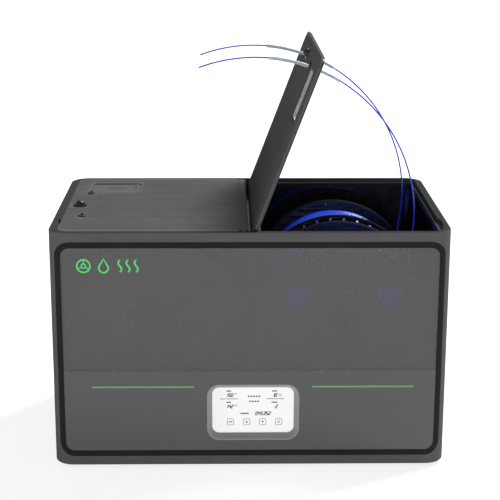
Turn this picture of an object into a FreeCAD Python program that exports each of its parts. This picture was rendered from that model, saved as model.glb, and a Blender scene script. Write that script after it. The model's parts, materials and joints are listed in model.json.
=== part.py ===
"""Four-spool filament dryer box with two lids, modelled in millimetres.

X runs to the right, Y to the back and Z up. The origin is the middle of the
footprint, on the surface that the rubber feet stand on. The left lid is shut
and the right lid stands open on its stop.
"""
import FreeCAD, Part
import math
import os

Vector = FreeCAD.Vector

# ---------------------------------------------------------------- driving sizes
CASE_W = 446.0          # outside width of the case
CASE_D = 283.0          # outside depth
CASE_H = 274.0          # case height without its feet
FOOT_H = 5.0
CORNER_R = 22.0         # rounding of the four upright corners
WALL = 3.0
RIM_W = 5.0             # width of the rim in front of and behind the lids
RIM_SIDE = 9.0          # width of the rim at the two ends
MOUTH_R = 13.5          # corners inside the rim
RIM_DEEP = 10.0         # height of the thick part of the wall below the rim
FIT = 0.2               # assembly gap between parts that are fixed to each other

RIM_Z = FOOT_H + CASE_H
HALF_W = CASE_W / 2
HALF_D = CASE_D / 2

# front window and the dark band around it
BAND_INSET = 11.0       # from the top and bottom edges of the case to the band
BAND_SIDE = 7.0         # from the sides of the case to the band
BAND_W = 7.0            # width of the band
BAND_R = 17.0

# display, low in the window and slightly right of the middle
BEZEL_W, BEZEL_H, BEZEL_R = 104.5, 67.0, 14.5
SCREEN_W, SCREEN_H, SCREEN_R = 92.6, 54.8, 8.0
BEZEL_DEEP = 7.0
BEZEL_Z = 68.5
DISPLAY_X = 3.5

# lids
LID_T = 4.6
LID_SKIN = 2.6          # thickness of the outer cover
LID_GAP = 0.5           # between the rim and a lid
HINGE_X = 7.0           # hinge axes stand this far each side of the middle
HINGE_Z = RIM_Z - LID_T
LID_OPEN = 69.3         # degrees, where the stop holds an open lid
LID_EDGE = 5.0          # how far a lid reaches past its hinge axis
PIN_R = 1.5
KNUCKLE_R = 2.7
BOSS_R = 4.4
KNUCKLE_Y = (116.5, 129.8)
BOSS_Y = (130.3, 136.2)

# filament outlets in the lids, on a circle about the hinge axis
OUTLET_REACH = 184.0
OUTLET_Y = (-50.0, 65.0)
OUTLET_R = 3.3
KNOB_REACH = 191.5
KNOB_Y = 14.0
TUBE_R, TUBE_BORE_R = 2.0, 1.3
TUBE_IN, TUBE_OUT = 10.5, 16.0     # degrees of tube below and above the lid

# bays and liners
LINER_GAP = 0.2
LINER_T = 2.0
LEDGE_Z = 268.8         # top face of the ledge that carries the seals
FLOOR_Z = 52.0
SHELF_Z = 118.0         # top of the electronics space behind the display
FRONT_SPACE_Y = -106.0  # back of the electronics space
SPINE_HALF = 12.0
SPINE_Z = (254.0, 264.3)

# spools and the rollers that they stand on
SPOOL_X = 107.5
SPOOL_ROWS = {"front": -54.0, "back": 58.0}
SPOOL_Z = 160.0
SPOOL_R = 100.0
SPOOL_W = 82.0
FLANGE_T = 3.0
HUB_R, HUB_BORE_R = 31.5, 27.5
WINDING_R = {"right": 88.0, "left": 84.0}
ROLLER_R = 10.0
ROLLER_ANGLE = 35.0
ROLLER_GAP = 0.3
AXLE_R = 3.0

# heating, air and power
FAN_SIZE, FAN_T, FAN_Z = 80.0, 25.0, 12.5
FAN_BORE_R = 38.5
HEATER_Z = (39.0, 48.0)
INLET_X, INLET_Z = 150.0, 31.0

# filament strands
STRAND_R = 0.875
STRAND_CLEAR = 0.3
CIRCLE_STEP = 15.0      # degrees between the points of the strand's circle
CIRCLE_TOP = 103.0      # direction of the uppermost point, from the hinge axis
CIRCLE_POINTS = 8

nodes = {}


# ---------------------------------------------------------------- shape helpers
def outline(corners):
    """Closed wire in the XY plane through (x, y, radius) corners."""
    edges, joins = [], []
    count = len(corners)
    for i, (x, y, radius) in enumerate(corners):
        here = Vector(x, y, 0)
        before = Vector(*corners[i - 1][:2], 0) - here
        after = Vector(*corners[(i + 1) % count][:2], 0) - here
        before.normalize()
        after.normalize()
        if radius <= 0:
            joins.append((here, here, None))
            continue
        half = before.getAngle(after) / 2
        reach = radius / math.tan(half)
        middle = (before + after).normalize()
        centre = here + middle * (radius / math.sin(half))
        joins.append((here + before * reach, here + after * reach, centre - middle * radius))
    for i, (start, end, middle) in enumerate(joins):
        if middle is not None:
            edges.append(Part.Arc(start, middle, end).toShape())
        following = joins[(i + 1) % count][0]
        if end.distanceToPoint(following) > 1e-6:
            edges.append(Part.LineSegment(end, following).toShape())
    return Part.Wire(edges)


def rectangle(x0, x1, y0, y1, radius=0.0):
    return [(x0, y0, radius), (x1, y0, radius), (x1, y1, radius), (x0, y1, radius)]


def prism(corners, z0, z1):
    """Upright solid on a rounded outline."""
    face = Part.Face(outline(corners))
    face.translate(Vector(0, 0, z0))
    return face.extrude(Vector(0, 0, z1 - z0))


def wall_prism(corners, y0, y1):
    """Solid whose (x, z) outline is pushed along Y."""
    face = Part.Face(outline(corners))
    face.rotate(Vector(0, 0, 0), Vector(1, 0, 0), 90)
    face.translate(Vector(0, y0, 0))
    return face.extrude(Vector(0, y1 - y0, 0))


def box(x0, x1, y0, y1, z0, z1):
    return Part.makeBox(x1 - x0, y1 - y0, z1 - z0, Vector(x0, y0, z0))


def cylinder_z(x, y, z0, z1, radius):
    return Part.makeCylinder(radius, z1 - z0, Vector(x, y, z0), Vector(0, 0, 1))


def cylinder_y(x, z, y0, y1, radius):
    return Part.makeCylinder(radius, y1 - y0, Vector(x, y0, z), Vector(0, 1, 0))


def turned_z(profile, x, y):
    """Solid of revolution about an upright axis from (radius, z) points."""
    points = [Vector(x + r, y, z) for r, z in profile]
    face = Part.Face(Part.makePolygon(points + points[:1]))
    return face.revolve(Vector(x, y, 0), Vector(0, 0, 1), 360)


def joined(shapes):
    whole = shapes[0].fuse(shapes[1:]) if len(shapes) > 1 else shapes[0]
    return whole.removeSplitter()


def group(shapes):
    return Part.makeCompound(shapes)


def mirrored_x(shape):
    return shape.mirror(Vector(0, 0, 0), Vector(1, 0, 0))


def case_block(inset, z0, z1):
    """Rounded block that stands the given distance inside the case's outside."""
    radius = CORNER_R - inset
    x, y = HALF_W - inset, HALF_D - inset
    return prism(rectangle(-x, x, -y, y, radius), z0, z1)


def edges_at_z(shape, z):
    return [e for e in shape.Edges
            if abs(e.BoundBox.ZMin - z) < 1e-4 and abs(e.BoundBox.ZMax - z) < 1e-4]


# ---------------------------------------------------------------- case
def band_outline(inset):
    x = HALF_W - BAND_SIDE - inset
    low = FOOT_H + BAND_INSET + inset
    high = RIM_Z - BAND_INSET - inset
    return rectangle(-x, x, low, high, BAND_R - inset)


def bezel_outline(grow=0.0):
    x, z = BEZEL_W / 2 + grow, BEZEL_H / 2 + grow
    return rectangle(-x, x, BEZEL_Z - z, BEZEL_Z + z, BEZEL_R + grow)


def screen_outline(grow=0.0):
    x, z = SCREEN_W / 2 + grow, SCREEN_H / 2 + grow
    return rectangle(-x, x, BEZEL_Z - z, BEZEL_Z + z, SCREEN_R + grow)


SCREW_BOSSES = [(sx * 215.5, sy * 110.0) for sx in (-1, 1) for sy in (-1, 0, 1)]


def make_case():
    """Shell, dark band and smoked window, all cut from one rounded wall."""
    outer = case_block(0, FOOT_H, RIM_Z)
    outer = outer.makeFillet(1.5, edges_at_z(outer, RIM_Z) + edges_at_z(outer, FOOT_H))
    cavity = case_block(WALL, FOOT_H - 1, RIM_Z - RIM_DEEP)
    x, y = HALF_W - RIM_SIDE, HALF_D - RIM_W
    mouth = prism(rectangle(-x, x, -y, y, MOUTH_R), RIM_Z - RIM_DEEP - 1, RIM_Z + 1)
    front = (-HALF_D - 1, -HALF_D + 12)
    band = wall_prism(band_outline(0), *front)
    pane = wall_prism(band_outline(BAND_W), *front)
    wall = outer.cut(cavity)

    shell = outer.cut([cavity, mouth, band])
    bosses = [cylinder_z(x, y, FOOT_H + 3, 44, 5).cut(cylinder_z(x, y, FOOT_H + 2, 20, 1.5))
              for x, y in SCREW_BOSSES]
    inside = case_block(WALL - 0.5, FOOT_H, RIM_Z)
    shell = joined([shell] + [boss.common(inside) for boss in bosses])

    cutters = []
    for side in (-1, 1):                      # finger notches in the side rims
        x = side * (HALF_W - RIM_SIDE)
        cutters.append(box(min(x, x + side * 2.5), max(x, x + side * 2.5), -113, -80,
                           RIM_Z - 5, RIM_Z + 1))
        for i in range(-4, 5):                # cooling slots low in the back
            x = side * SPOOL_X * 0.6 - 20 + i * 6.0
            cutters.append(wall_prism(rectangle(x - 1.2, x + 1.2, 14, 40, 1.1),
                                      HALF_D - 5, HALF_D + 1))
    cutters.append(wall_prism(rectangle(INLET_X - 26, INLET_X + 26, INLET_Z - 15, INLET_Z + 15, 3),
                              HALF_D - 1.7, HALF_D + 1))
    cutters.append(box(INLET_X - 23.7, INLET_X + 23.7, HALF_D - 5, HALF_D + 1,
                       INLET_Z - 12.7, INLET_Z + 12.7))
    nodes["outer_shell"] = shell.cut(cutters)
    nodes["window_band"] = wall.common(band).cut(pane)
    bezel_hole = wall_prism(bezel_outline(), *front).translated(Vector(DISPLAY_X, 0, 0))
    nodes["front_window"] = wall.common(pane).cut(bezel_hole)


def make_display():
    """Sloped bezel with its screen and the control board behind it."""
    front = -HALF_D
    seat = front + BEZEL_DEEP
    block = wall_prism(bezel_outline(-0.1), front, seat + 2)
    flange = wall_prism(bezel_outline(5), front + WALL + 0.1, front + WALL + 2.1)
    pillars = []
    for sx in (-1, 1):
        for sz in (-1, 1):
            x, z = sx * 52.5, BEZEL_Z + sz * 34.5
            pillars.append(cylinder_y(x, z, front + WALL + 1, -122.6, 3))
    mouths = []
    for outline_xz, y in ((bezel_outline(-1.4), front - 0.1), (screen_outline(), seat)):
        wire = outline(outline_xz)
        wire.rotate(Vector(0, 0, 0), Vector(1, 0, 0), 90)
        wire.translate(Vector(0, y, 0))
        mouths.append(wire)
    funnel = Part.makeLoft(mouths, True, True)
    through = wall_prism(screen_outline(), seat - 0.1, seat + 0.8)
    pocket = wall_prism(screen_outline(2.4), seat + 0.8, seat + 10)
    bezel = joined([block, flange] + pillars).cut([funnel, through, pocket])
    holes = [cylinder_y(sx * 52.5, BEZEL_Z + sz * 34.5, -132, -120, 1.2)
             for sx in (-1, 1) for sz in (-1, 1)]
    nodes["display_bezel"] = bezel.cut(holes)

    glass_y = seat + 0.8
    nodes["display_glass"] = wall_prism(screen_outline(2.2), glass_y, glass_y + 1.6)
    nodes["display_panel"] = wall_prism(screen_outline(2.0), glass_y + 1.6, glass_y + 6.5)

    board = box(-60, 60, -122.6, -121, 28, 109)
    chips = [box(-20, -2, -121.1, -119, 60, 78), box(14, 26, -121.1, -118.5, 50, 62),
             box(-48, -34, -121.1, -112, 84, 96), box(30, 52, -121.1, -113, 82, 92),
             cylinder_y(40, 44, -121.1, -110.5, 5), cylinder_y(-40, 50, -121.1, -110.5, 5)]
    nodes["control_board"] = joined([board] + chips).cut(holes)
    nodes["board_screws"] = group([
        joined([cylinder_y(sx * 52.5, BEZEL_Z + sz * 34.5, -131, -120.9, 1.2),
                cylinder_y(sx * 52.5, BEZEL_Z + sz * 34.5, -121, -119, 2.6)])
        for sx in (-1, 1) for sz in (-1, 1)])
    for name in ("display_bezel", "display_glass", "display_panel", "control_board",
                 "board_screws"):
        nodes[name] = nodes[name].translated(Vector(DISPLAY_X, 0, 0))


# ---------------------------------------------------------------- bays
def liner_footprint(inset, front_y, front_r):
    """Right-hand bay seen from above; the far corners follow the case."""
    x0, x1 = 1.5 + inset, HALF_W - WALL - LINER_GAP - inset
    y1 = HALF_D - WALL - LINER_GAP - inset - 0.1
    far = CORNER_R - WALL - LINER_GAP - inset
    return [(x0, front_y, 1), (x1, front_y, front_r), (x1, y1, far), (x0, y1, 1)]


def make_bays():
    """One black liner per bay, open at the top and behind the window."""
    far = CORNER_R - WALL - LINER_GAP
    front = -HALF_D + WALL + LINER_GAP + 0.1
    upper = prism(liner_footprint(0, front, far), SHELF_Z - LINER_T, LEDGE_Z)
    lower = prism(liner_footprint(0, FRONT_SPACE_Y, 1), FLOOR_Z - LINER_T, SHELF_Z)
    room_up = prism(liner_footprint(LINER_T, -HALF_D - 5, 1), SHELF_Z, LEDGE_Z - 2)
    room_low = prism(liner_footprint(LINER_T, FRONT_SPACE_Y + LINER_T, 1), FLOOR_Z, SHELF_Z + 1)
    mouth = prism([(-5, -131, 0), (209.5, -131, 12), (209.5, 131, 12), (-5, 131, 0)],
                  LEDGE_Z - 3, LEDGE_Z + 1)
    spine_room = box(0, SPINE_HALF + 0.3, -HALF_D, HALF_D, SPINE_Z[0] - 0.2, LEDGE_Z + 1)
    grille_hole = box(SPOOL_X - 36, SPOOL_X + 36, -36, 36, FLOOR_Z - 3, FLOOR_Z + 1)
    liner = joined([upper, lower]).cut([room_up, room_low, mouth, spine_room, grille_hole])
    nodes["right_bay_liner"] = liner
    nodes["left_bay_liner"] = mirrored_x(liner)

    x0, x1, y1, width = 9.3, 213.2, 134.5, 2.6
    low, high = LEDGE_Z + 0.05, HINGE_Z - 0.3
    ring = prism([(x0, -y1, 0), (x1, -y1, 12), (x1, y1, 12), (x0, y1, 0)], low, high)
    hole = prism([(x0 + width, -y1 + width, 0), (x1 - width, -y1 + width, 12 - width),
                  (x1 - width, y1 - width, 12 - width), (x0 + width, y1 - width, 0)],
                 low - 1, high + 1)
    ends = [box(0, 16.3, *sorted((sy * 115.0, sy * 140.0)), low - 1, high + 1) for sy in (-1, 1)]
    seal = ring.cut([hole] + ends)
    nodes["right_bay_seal"] = seal
    nodes["left_bay_seal"] = mirrored_x(seal)

    slots = [box(SPOOL_X - 33, SPOOL_X + 33, y, y + 3.0, FLOOR_Z - 3, FLOOR_Z + 1)
             for y in [-33 + 5.5 * i for i in range(12)]]
    grille = box(SPOOL_X - 36, SPOOL_X + 36, -36, 36, FLOOR_Z - 2, FLOOR_Z).cut(slots)
    nodes["floor_grilles"] = group([grille, mirrored_x(grille)])

    wall_y = HALF_D - WALL - LINER_GAP - LINER_T - 0.1
    sensor = joined([box(SPOOL_X - 10, SPOOL_X + 10, wall_y - 5, wall_y, 236, 250),
                     box(SPOOL_X - 4, SPOOL_X + 4, wall_y - 7, wall_y - 4.5, 239, 247)])
    nodes["humidity_sensors"] = group([sensor, mirrored_x(sensor)])


def make_spine():
    """Beam between the bays, with the fixed halves of the lid hinges."""
    end = HALF_D - WALL - LINER_GAP - 0.1
    parts = [box(-SPINE_HALF, SPINE_HALF, -end, end, *SPINE_Z)]
    pins, pin_holes = [], []
    for sx in (-1, 1):
        pads = sorted((sx * 9.0, sx * SPINE_HALF))
        parts.append(box(*pads, -115, 115, SPINE_Z[1] - 1, LEDGE_Z))
        for sy in (-1, 1):
            y0, y1 = sorted((sy * BOSS_Y[0], sy * BOSS_Y[1]))
            x = sx * HINGE_X
            parts.append(box(x - 3.5, x + 3.5, y0, y1, SPINE_Z[1] - 1, HINGE_Z))
            parts.append(cylinder_y(x, HINGE_Z, y0, y1, BOSS_R))
            inner = sy * (KNUCKLE_Y[0] - 0.5)
            p0, p1 = sorted((inner, sy * BOSS_Y[1]))
            pins.append(cylinder_y(x, HINGE_Z, p0, p1, PIN_R))
            pin_holes.append(cylinder_y(x, HINGE_Z, y0 - 1, y1 + 1, PIN_R))
    nodes["hinge_spine"] = joined(parts).cut(pin_holes)
    nodes["hinge_pins"] = group(pins)


# ---------------------------------------------------------------- lids
def lid_outline(inset):
    x0 = HINGE_X - LID_EDGE + inset
    x1 = HALF_W - RIM_SIDE - LID_GAP - 0.1 - inset
    y1 = HALF_D - RIM_W - LID_GAP - inset
    far = MOUTH_R - LID_GAP - inset
    near = max(4.0 - inset, 1.0)
    return [(x0, -y1, near), (x1, -y1, far), (x1, y1, far), (x0, y1, near)]


def hinge_notches():
    return [box(0, 12.5, *sorted((sy * 130.0, sy * 140.0)), HINGE_Z - 5, RIM_Z + 1)
            for sy in (-1, 1)]


def lid_pieces():
    """Outer cover and inner plate of the right lid, shut."""
    outlets = [cylinder_z(HINGE_X + OUTLET_REACH, y, HINGE_Z - 5, RIM_Z + 1, OUTLET_R)
               for y in OUTLET_Y]
    stem = cylinder_z(HINGE_X + KNOB_REACH, KNOB_Y, HINGE_Z - 5, RIM_Z + 1, 3.06)
    knuckles, bores, reliefs = [], [], []
    for sy in (-1, 1):
        y0, y1 = sorted((sy * KNUCKLE_Y[0], sy * KNUCKLE_Y[1]))
        knuckles.append(cylinder_y(HINGE_X, HINGE_Z, y0, y1, KNUCKLE_R))
        bores.append(cylinder_y(HINGE_X, HINGE_Z, y0 - 1, y1 + 1, PIN_R + 0.06))
        reliefs.append(cylinder_y(HINGE_X, HINGE_Z, y0 - 0.3, y1 + 0.3, KNUCKLE_R + FIT))

    cover = prism(lid_outline(0), RIM_Z - LID_SKIN, RIM_Z)
    hinge_edge = [e for e in edges_at_z(cover, RIM_Z)
                  if e.BoundBox.XMax - e.BoundBox.XMin < 1e-4 and e.BoundBox.XMin < HINGE_X]
    cover = cover.makeFillet(1.5, hinge_edge)
    label = prism(rectangle(133, 192.5, -107, -60, 5), RIM_Z - 1.2, RIM_Z + 1)
    cover = cover.cut([label, stem] + outlets + hinge_notches() + reliefs)

    plate = prism(lid_outline(0.4), HINGE_Z, RIM_Z - LID_SKIN - 0.1)
    plate = joined([plate.cut(hinge_notches())] + knuckles).cut(bores + outlets + [stem])
    return {"lid_cover": cover, "lid_plate": plate}


def vent_knob():
    """Low domed knob that turns on a stem through the lid."""
    z = RIM_Z + 0.2
    profile = [(0, z + 6.4), (2.4, z + 6.1), (4.2, z + 5.1), (5.1, z + 3.6), (5.3, z + 2.0),
               (7.5, z + 1.8), (8.0, z + 1.3), (8.0, z), (3.0, z), (3.0, HINGE_Z - 0.2),
               (4.2, HINGE_Z - 0.2), (4.2, HINGE_Z - 1.6), (0, HINGE_Z - 1.6)]
    return turned_z(profile, HINGE_X + KNOB_REACH, KNOB_Y)


def outlet_plug(y):
    """Rubber stopper with a pull nub, for an outlet that isn't in use."""
    z = RIM_Z + 0.1
    profile = [(0, z + 3.4), (1.1, z + 3.2), (1.5, z + 2.6), (1.3, z + 1.6), (4.0, z + 1.4),
               (5.0, z + 0.8), (5.0, z), (3.1, z), (3.1, HINGE_Z - 0.5), (2.6, HINGE_Z - 1.5),
               (0, HINGE_Z - 1.5)]
    return turned_z(profile, HINGE_X + OUTLET_REACH, y)


def outlet_grommet(y):
    """Rubber ring that holds a guide tube in its outlet."""
    profile = [(2.1, RIM_Z + 1.3), (4.2, RIM_Z + 1.3), (5.2, RIM_Z + 0.6), (5.2, RIM_Z),
               (3.3, RIM_Z), (3.3, HINGE_Z), (4.6, HINGE_Z), (4.6, HINGE_Z - 1), (2.1, HINGE_Z - 1)]
    return turned_z(profile, HINGE_X + OUTLET_REACH, y)


def guide_tube(y):
    """Stiff guide tube, curved about the hinge axis so that it slides on the strand."""
    centre = Vector(HINGE_X + OUTLET_REACH, y, HINGE_Z)
    hinge = Vector(HINGE_X, y, HINGE_Z)
    solids = []
    for radius, extra in ((TUBE_R, 0.0), (TUBE_BORE_R, 1.0)):
        disc = Part.Face(Part.Wire(Part.makeCircle(radius, centre, Vector(0, 0, 1))))
        disc.rotate(hinge, Vector(0, 1, 0), TUBE_IN + extra)
        solids.append(disc.revolve(hinge, Vector(0, -1, 0), TUBE_IN + TUBE_OUT + 2 * extra))
    return solids[0].cut(solids[1])


def make_lids():
    """The same lid on both sides, the right one swung open to its stop."""
    def opened(shape):
        return shape.rotated(Vector(HINGE_X, 0, HINGE_Z), Vector(0, -1, 0), LID_OPEN)

    def turned_round(shape):
        return shape.rotated(Vector(0, 0, 0), Vector(0, 0, 1), 180)

    for name, shape in lid_pieces().items():
        nodes["right_" + name] = opened(shape)
        nodes["left_" + name] = turned_round(shape)
    nodes["right_vent_knob"] = opened(vent_knob())
    nodes["left_vent_knob"] = turned_round(vent_knob())
    nodes["tube_grommets"] = group([opened(outlet_grommet(y)) for y in OUTLET_Y])
    nodes["guide_tubes"] = group([opened(guide_tube(y)) for y in OUTLET_Y])
    nodes["left_back_plug"] = turned_round(outlet_plug(OUTLET_Y[0]))
    nodes["left_front_plug"] = turned_round(outlet_plug(OUTLET_Y[1]))


# ---------------------------------------------------------------- spools and rollers
def flange_window(direction):
    """Rounded triangular opening in a spool's flange, as an (x, z) outline."""
    corners = []
    for turn in (0, 120, 240):
        angle = math.radians(direction + turn)
        reach = 24.0
        x = 61 * math.cos(math.radians(direction)) + reach * math.cos(angle)
        z = 61 * math.sin(math.radians(direction)) + reach * math.sin(angle)
        corners.append((x, z, 5.0))
    return corners


def spool_half(facing):
    """Flange and half of the hub, centred on the spool's axis at y = 0."""
    half = SPOOL_W / 2
    flange = cylinder_y(0, 0, half - FLANGE_T, half, SPOOL_R)
    hub = cylinder_y(0, 0, 0, half - FLANGE_T + 1, HUB_R)
    bore = cylinder_y(0, 0, -1, half + 1, HUB_BORE_R)
    windows = [wall_prism(flange_window(d), half - FLANGE_T - 1, half + 1) for d in (30, 150, 270)]
    body = joined([flange, hub]).cut([bore] + windows)
    return body if facing > 0 else body.mirror(Vector(0, 0, 0), Vector(0, 1, 0))


def make_spools():
    reach = SPOOL_R + ROLLER_GAP + ROLLER_R
    drop = reach * math.cos(math.radians(ROLLER_ANGLE))
    spread = reach * math.sin(math.radians(ROLLER_ANGLE))
    roller_z = SPOOL_Z - drop
    half = SPOOL_W / 2
    cradles = []
    for side, sx in (("left", -1), ("right", 1)):
        for row, y in SPOOL_ROWS.items():
            place = Vector(sx * SPOOL_X, y, SPOOL_Z)
            name = side + "_" + row + "_"
            nodes[name + "spool_back_half"] = spool_half(1).translated(place)
            nodes[name + "spool_front_half"] = spool_half(-1).translated(place)
            inner = half - FLANGE_T - 0.2
            winding = cylinder_y(0, 0, -inner, inner, WINDING_R[side])
            winding = winding.cut(cylinder_y(0, 0, -half, half, HUB_R + 0.1))
            nodes[name + "winding"] = winding.translated(place)
            for place_name, toward in (("inner", -sx), ("outer", sx)):
                x = sx * SPOOL_X + toward * spread
                roller = joined([cylinder_y(x, roller_z, y - half - 2, y + half + 2, ROLLER_R),
                                 cylinder_y(x, roller_z, y - half - 8, y + half + 8, AXLE_R)])
                nodes[name + place_name + "_roller"] = roller
            for sy in (-1, 1):
                y0, y1 = sorted((y + sy * (half + 2.5), y + sy * (half + 7)))
                for x in (sx * SPOOL_X - spread, sx * SPOOL_X + spread):
                    foot = box(x - 11, x + 11, y0, y1, FLOOR_Z, FLOOR_Z + 3)
                    ear = box(x - 7, x + 7, y0, y1, FLOOR_Z, roller_z + 6)
                    bore = cylinder_y(x, roller_z, y0 - 1, y1 + 1, AXLE_R + 0.06)
                    cradles.append(joined([foot, ear]).cut(bore))
    nodes["roller_cradles"] = group(cradles)


# ---------------------------------------------------------------- base, air and power
def make_base():
    """Bottom cover with its lip, air slots, feet and screws."""
    floor = case_block(WALL + FIT, FOOT_H, FOOT_H + 3)
    lip = case_block(WALL + FIT, FOOT_H + 2, FOOT_H + 11).cut(
        case_block(WALL + FIT + 2, FOOT_H, FOOT_H + 12))
    lip = lip.cut([cylinder_z(x, y, FOOT_H + 3, 60, 6) for x, y in SCREW_BOSSES])
    slots = [box(sx * SPOOL_X - 32, sx * SPOOL_X + 32, y, y + 3.2, FOOT_H - 1, FOOT_H + 4)
             for sx in (-1, 1) for y in [-33 + 6 * i for i in range(12)]]
    holes = [cylinder_z(x, y, FOOT_H - 1, FOOT_H + 4, 1.6) for x, y in SCREW_BOSSES]
    sinks = [cylinder_z(x, y, FOOT_H - 1, FOOT_H + 1.8, 3.2) for x, y in SCREW_BOSSES]
    nodes["base_cover"] = joined([floor, lip]).cut(slots + holes + sinks)
    nodes["base_screws"] = group([
        joined([cylinder_z(x, y, FOOT_H + 0.3, FOOT_H + 1.8, 3.0),
                cylinder_z(x, y, FOOT_H + 1, 18, 1.45)]) for x, y in SCREW_BOSSES])
    foot = [(0, 0), (9.5, 0), (11, 1.5), (11, FOOT_H), (0, FOOT_H)]
    nodes["rubber_feet"] = group([turned_z(foot, sx * 180, sy * 100)
                                  for sx in (-1, 1) for sy in (-1, 1)])


def fan_rotor(x):
    hub = cylinder_z(x, 0, FAN_Z + 3.5, FAN_Z + FAN_T - 1.5, 17)
    blades = []
    for i in range(7):
        blade = box(15, 37, -0.9, 0.9, FAN_Z + 4, FAN_Z + 22)
        blade.rotate(Vector(26, 0, FAN_Z + 13), Vector(1, 0, 0), 32)
        blade = blade.common(cylinder_z(0, 0, FAN_Z + 3.5, FAN_Z + FAN_T - 1.5, 37.2))
        blade.rotate(Vector(0, 0, 0), Vector(0, 0, 1), i * 360 / 7)
        blade.translate(Vector(x, 0, 0))
        blades.append(blade)
    return joined([hub] + blades).cut(cylinder_z(x, 0, FAN_Z, FAN_Z + 16, 2.06))


def make_air_system():
    """Per bay: a fan under a finned heater under the floor grille."""
    frames, heaters = [], []
    for side, sx in (("left", -1), ("right", 1)):
        x, half = sx * SPOOL_X, FAN_SIZE / 2
        frame = prism(rectangle(x - half, x + half, -half, half, 5), FAN_Z, FAN_Z + FAN_T)
        frame = frame.cut(cylinder_z(x, 0, FAN_Z - 1, FAN_Z + FAN_T + 1, FAN_BORE_R))
        arms = [box(x - 39, x + 39, -2, 2, FAN_Z, FAN_Z + 2.5),
                box(x - 2, x + 2, -39, 39, FAN_Z, FAN_Z + 2.5)]
        frames.append(joined([frame, cylinder_z(x, 0, FAN_Z, FAN_Z + 2.5, 17),
                              cylinder_z(x, 0, FAN_Z, FAN_Z + 14, 2.0)] + arms))
        nodes[side + "_fan_rotor"] = fan_rotor(x)
        fins = [box(x - 33, x + 33, y, y + 1.8, HEATER_Z[0] - 1, HEATER_Z[1] + 1)
                for y in [-26 + 4.4 * i for i in range(12)]]
        heaters.append(box(x - 36, x + 36, -30, 30, *HEATER_Z).cut(fins))
    nodes["fan_frames"] = group(frames)
    nodes["heater_blocks"] = group(heaters)


def make_power():
    """Mains inlet with its rocker in the back, and the power board inside."""
    back = HALF_D
    plate = wall_prism(rectangle(INLET_X - 25.8, INLET_X + 25.8, INLET_Z - 14.8, INLET_Z + 14.8, 2.8),
                       back - 1.6, back - 0.1)
    body = box(INLET_X - 23.5, INLET_X + 23.5, back - 26, back - 1.5, INLET_Z - 12.5, INLET_Z + 12.5)
    socket = wall_prism([(INLET_X - 21, INLET_Z - 8, 1.5), (INLET_X + 3, INLET_Z - 8, 1.5),
                         (INLET_X + 3, INLET_Z + 4, 1), (INLET_X - 1, INLET_Z + 8, 1),
                         (INLET_X - 17, INLET_Z + 8, 1), (INLET_X - 21, INLET_Z + 4, 1)],
                        back - 17, back + 1)
    well = box(INLET_X + 7.5, INLET_X + 20.5, back - 14, back + 1, INLET_Z - 9.5, INLET_Z + 9.5)
    blades = [box(INLET_X - 9 + dx - 1, INLET_X - 9 + dx + 1, back - 18, back - 5,
                  INLET_Z + dz - 2, INLET_Z + dz + 2) for dx, dz in ((-7, 0), (0, 4), (7, 0))]
    nodes["power_inlet"] = joined([plate, body]).cut([socket, well]).fuse(blades).removeSplitter()

    pivot_y, half_w = back - 9, 6.2
    profile = [(pivot_y - 3, INLET_Z - 4, 1.5), (pivot_y + 5.2, INLET_Z - 8.4, 0.8),
               (pivot_y + 7.4, INLET_Z, 0), (pivot_y + 5.2, INLET_Z + 8.4, 0.8),
               (pivot_y - 3, INLET_Z + 4, 1.5)]
    face = Part.Face(outline([(y, z, r) for y, z, r in profile]))
    face.rotate(Vector(0, 0, 0), Vector(1, 1, 1), 120)
    face.translate(Vector(INLET_X + 14 - half_w, 0, 0))
    rocker = face.extrude(Vector(2 * half_w, 0, 0))
    rocker.rotate(Vector(0, pivot_y, INLET_Z), Vector(1, 0, 0), -6)
    nodes["power_rocker"] = rocker

    board = box(-55, 45, 60, 122, 16, 17.6)
    parts = [box(-45, -12, 70, 100, 17.5, 42), cylinder_z(10, 80, 17.5, 44, 9),
             cylinder_z(32, 80, 17.5, 40, 6), box(-48, -30, 106, 118, 17.5, 33),
             box(0, 36, 104, 110, 17.5, 38)]
    posts = [cylinder_z(x, y, FOOT_H + 3, 16.1, 3) for x in (-50, 40) for y in (65, 117)]
    nodes["power_board"] = joined([board] + parts + posts)


# ---------------------------------------------------------------- filament strands
def strand_route(y):
    """Points of one strand, from its winding up and over through the guide tube.

    The upper points make a circle about the right lid's hinge axis, so the
    guide tube slides along the strand at every position of the lid.
    """
    half_step = math.radians(CIRCLE_STEP / 2)
    corner_reach = OUTLET_REACH / math.cos(half_step)

    def around(reach, degrees):
        angle = math.radians(degrees)
        return Vector(HINGE_X + reach * math.cos(angle), y, HINGE_Z + reach * math.sin(angle))

    lift = WINDING_R["right"] + STRAND_R + STRAND_CLEAR
    winding_x = SPOOL_X + lift
    lowest = CIRCLE_TOP - CIRCLE_STEP * (CIRCLE_POINTS - 1)
    leave = lowest - CIRCLE_STEP / 2
    tangent = around(OUTLET_REACH, leave)
    heading = Vector(math.sin(math.radians(leave)), 0, -math.cos(math.radians(leave)))
    points = [Vector(winding_x, y, SPOOL_Z), Vector(winding_x, y, SPOOL_Z + 29),
              tangent + heading * 26]
    points += [around(corner_reach, lowest + CIRCLE_STEP * i) for i in range(CIRCLE_POINTS)]
    points.append(around(OUTLET_REACH, CIRCLE_TOP + CIRCLE_STEP / 2))
    return points


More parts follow.
